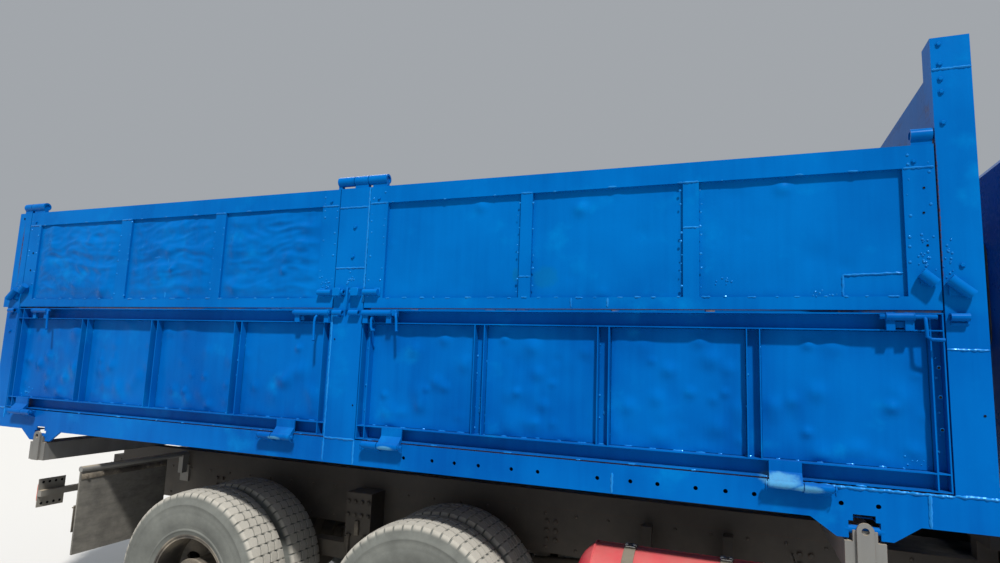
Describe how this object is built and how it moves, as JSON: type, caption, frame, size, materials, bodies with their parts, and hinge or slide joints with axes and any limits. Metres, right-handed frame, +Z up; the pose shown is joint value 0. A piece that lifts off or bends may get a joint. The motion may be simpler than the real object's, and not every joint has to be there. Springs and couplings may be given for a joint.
{
  "type": "three-axle side-tipping dump truck",
  "caption": "Cab-over dump truck with a grain bed that tips sideways, drop-down lower side boards and top-hinged raised side boards, twin rear wheels and a tilting cab.",
  "frame": {"origin": "on the ground under the middle of the truck's outer box", "axes": "+X forward, +Y to the truck's left, +Z up"},
  "size_m": [7.5, 2.96, 3.197],
  "materials": {
    "bed_paint": "blue enamel, scuffed and dented",
    "cab_paint": "blue enamel",
    "frame_paint": "dull black, dusty",
    "grey_paint": "grey enamel, worn",
    "bare_steel": "ground and rubbed",
    "cast_iron": "oily and dusty",
    "red_paint": "red enamel",
    "rubber": "dusty sheet rubber",
    "tyre": "dusty tyre rubber",
    "rim_paint": "dark enamel, dusty",
    "glass": "clear window glass",
    "lamp": "clear ribbed lens",
    "tail_lamp": "red lens plastic",
    "seat": "woven seat cloth",
    "trim": "black moulded plastic"
  },
  "bodies": {
    "chassis": {"frame_rails": "frame_paint", "frame_crossmembers": "frame_paint", "subframe_rails": "frame_paint", "tip_beams": "grey_paint", "drive_axles": "frame_paint", "leaf_springs": "frame_paint", "front_axle": "frame_paint", "engine": "cast_iron", "drive_shafts": "frame_paint", "gas_cylinder": "red_paint", "tank_arms": "frame_paint", "fuel_tank": "grey_paint", "battery_box": "frame_paint", "rear_bars": "grey_paint", "mudflaps": "rubber", "tail_lamps": "tail_lamp", "bumper": "grey_paint", "headlamps": "lamp", "steps": "frame_paint", "cab_rest": "frame_paint"},
    "bed": {"bed_floor": "bed_paint", "bed_sills": "bed_paint", "bed_front_wall": "bed_paint", "bed_rear_wall": "bed_paint", "bed_posts": "bed_paint"},
    "cab": {"cab_shell": "cab_paint", "cab_glass": "glass", "cab_seats": "seat", "cab_dashboard": "trim", "cab_mirrors": "trim"},
    "lower_board_right_rear": {"lower_board_right_rear": "bed_paint"},
    "upper_board_right_rear": {"upper_board_right_rear": "bed_paint"},
    "lower_board_right_front": {"lower_board_right_front": "bed_paint"},
    "upper_board_right_front": {"upper_board_right_front": "bed_paint"},
    "door_right": {"door_right": "cab_paint", "door_right_glass": "glass"},
    "knuckle_right": {"knuckle_right": "frame_paint"},
    "wheel_front_right": {"rims_front_right": "rim_paint", "tyres_front_right": "tyre"},
    "wheel_middle_right": {"rims_middle_right": "rim_paint", "tyres_middle_right": "tyre"},
    "wheel_rear_right": {"rims_rear_right": "rim_paint", "tyres_rear_right": "tyre"},
    "lower_board_left_rear": {"lower_board_left_rear": "bed_paint"},
    "upper_board_left_rear": {"upper_board_left_rear": "bed_paint"},
    "lower_board_left_front": {"lower_board_left_front": "bed_paint"},
    "upper_board_left_front": {"upper_board_left_front": "bed_paint"},
    "door_left": {"door_left": "cab_paint", "door_left_glass": "glass"},
    "knuckle_left": {"knuckle_left": "frame_paint"},
    "wheel_front_left": {"rims_front_left": "rim_paint", "tyres_front_left": "tyre"},
    "wheel_middle_left": {"rims_middle_left": "rim_paint", "tyres_middle_left": "tyre"},
    "wheel_rear_left": {"rims_rear_left": "rim_paint", "tyres_rear_left": "tyre"},
    "hoist_barrel": {"hoist_barrel": "frame_paint"},
    "hoist_stage_1": {"hoist_stage_1": "bare_steel"},
    "hoist_stage_2": {"hoist_stage_2": "bare_steel"},
    "hoist_ram": {"hoist_ram": "bare_steel"}
  },
  "joints": [
    {"name": "bed_tip", "type": "hinge", "parent": "chassis", "child": "bed", "pos_m": [-0.86, -1.236, 1.257], "axis": [1, 0, 0], "range_deg": [0, 50]},
    {"name": "lower_board_right_rear_drop", "type": "hinge", "parent": "bed", "child": "lower_board_right_rear", "pos_m": [-2.288, -1.285, 1.403], "axis": [-1, 0, 0], "range_deg": [-175, 0]},
    {"name": "upper_board_right_rear_lift", "type": "hinge", "parent": "bed", "child": "upper_board_right_rear", "pos_m": [-2.288, -1.225, 2.803], "axis": [-1, 0, 0], "range_deg": [0, 100]},
    {"name": "lower_board_right_front_drop", "type": "hinge", "parent": "bed", "child": "lower_board_right_front", "pos_m": [0.483, -1.285, 1.403], "axis": [-1, 0, 0], "range_deg": [-175, 0]},
    {"name": "upper_board_right_front_lift", "type": "hinge", "parent": "bed", "child": "upper_board_right_front", "pos_m": [0.483, -1.225, 2.803], "axis": [-1, 0, 0], "range_deg": [0, 100]},
    {"name": "lower_board_left_rear_drop", "type": "hinge", "parent": "bed", "child": "lower_board_left_rear", "pos_m": [-2.288, 1.285, 1.403], "axis": [1, 0, 0], "range_deg": [-175, 0]},
    {"name": "upper_board_left_rear_lift", "type": "hinge", "parent": "bed", "child": "upper_board_left_rear", "pos_m": [-2.288, 1.225, 2.803], "axis": [1, 0, 0], "range_deg": [0, 100]},
    {"name": "lower_board_left_front_drop", "type": "hinge", "parent": "bed", "child": "lower_board_left_front", "pos_m": [0.483, 1.285, 1.403], "axis": [1, 0, 0], "range_deg": [-175, 0]},
    {"name": "upper_board_left_front_lift", "type": "hinge", "parent": "bed", "child": "upper_board_left_front", "pos_m": [0.483, 1.225, 2.803], "axis": [1, 0, 0], "range_deg": [0, 100]},
    {"name": "cab_tilt", "type": "hinge", "parent": "chassis", "child": "cab", "pos_m": [3.65, 0, 0.88], "axis": [0, 1, 0], "range_deg": [0, 45]},
    {"name": "door_left_swing", "type": "hinge", "parent": "cab", "child": "door_left", "pos_m": [3.423, 1.222, 1.5], "axis": [0, 0, -1], "range_deg": [0, 70]},
    {"name": "door_right_swing", "type": "hinge", "parent": "cab", "child": "door_right", "pos_m": [3.423, -1.222, 1.5], "axis": [0, 0, 1], "range_deg": [0, 70]},
    {"name": "steer_left", "type": "hinge", "parent": "chassis", "child": "knuckle_left", "pos_m": [2.385, 0.88, 0.515], "axis": [0, 0, 1], "range_deg": [-38, 38]},
    {"name": "steer_right", "type": "hinge", "parent": "chassis", "child": "knuckle_right", "pos_m": [2.385, -0.88, 0.515], "axis": [0, 0, 1], "range_deg": [-38, 38]},
    {"name": "wheel_front_right_roll", "type": "hinge", "parent": "knuckle_right", "child": "wheel_front_right", "pos_m": [2.385, -1.013, 0.515], "axis": [0, 1, 0], "continuous": true},
    {"name": "wheel_middle_right_roll", "type": "hinge", "parent": "chassis", "child": "wheel_middle_right", "pos_m": [-0.455, -0.915, 0.515], "axis": [0, 1, 0], "continuous": true},
    {"name": "wheel_rear_right_roll", "type": "hinge", "parent": "chassis", "child": "wheel_rear_right", "pos_m": [-1.905, -0.915, 0.515], "axis": [0, 1, 0], "continuous": true},
    {"name": "wheel_front_left_roll", "type": "hinge", "parent": "knuckle_left", "child": "wheel_front_left", "pos_m": [2.385, 1.013, 0.515], "axis": [0, 1, 0], "continuous": true},
    {"name": "wheel_middle_left_roll", "type": "hinge", "parent": "chassis", "child": "wheel_middle_left", "pos_m": [-0.455, 0.915, 0.515], "axis": [0, 1, 0], "continuous": true},
    {"name": "wheel_rear_left_roll", "type": "hinge", "parent": "chassis", "child": "wheel_rear_left", "pos_m": [-1.905, 0.915, 0.515], "axis": [0, 1, 0], "continuous": true},
    {"name": "hoist_swing", "type": "hinge", "parent": "chassis", "child": "hoist_barrel", "pos_m": [0.25, 0, 0.76], "axis": [1, 0, 0], "range_deg": [0, 16.54]},
    {"name": "hoist_stage_1_out", "type": "slide", "parent": "hoist_barrel", "child": "hoist_stage_1", "axis": [0, 0, 1], "range_m": [0, 0.3388]},
    {"name": "hoist_stage_2_out", "type": "slide", "parent": "hoist_stage_1", "child": "hoist_stage_2", "axis": [0, 0, 1], "range_m": [0, 0.3388]},
    {"name": "hoist_ram_out", "type": "slide", "parent": "hoist_stage_2", "child": "hoist_ram", "axis": [0, 0, 1], "range_m": [0, 0.3388]}
  ],
  "couplings": [
    {"joint": "hoist_swing", "follows": "bed_tip", "ratio": 0.33086},
    {"joint": "hoist_stage_1_out", "follows": "bed_tip", "m_per_rad": 0.38825},
    {"joint": "hoist_stage_2_out", "follows": "bed_tip", "m_per_rad": 0.38825},
    {"joint": "hoist_ram_out", "follows": "bed_tip", "m_per_rad": 0.38825},
    {"joint": "steer_right", "follows": "steer_left", "ratio": 1}
  ]
}
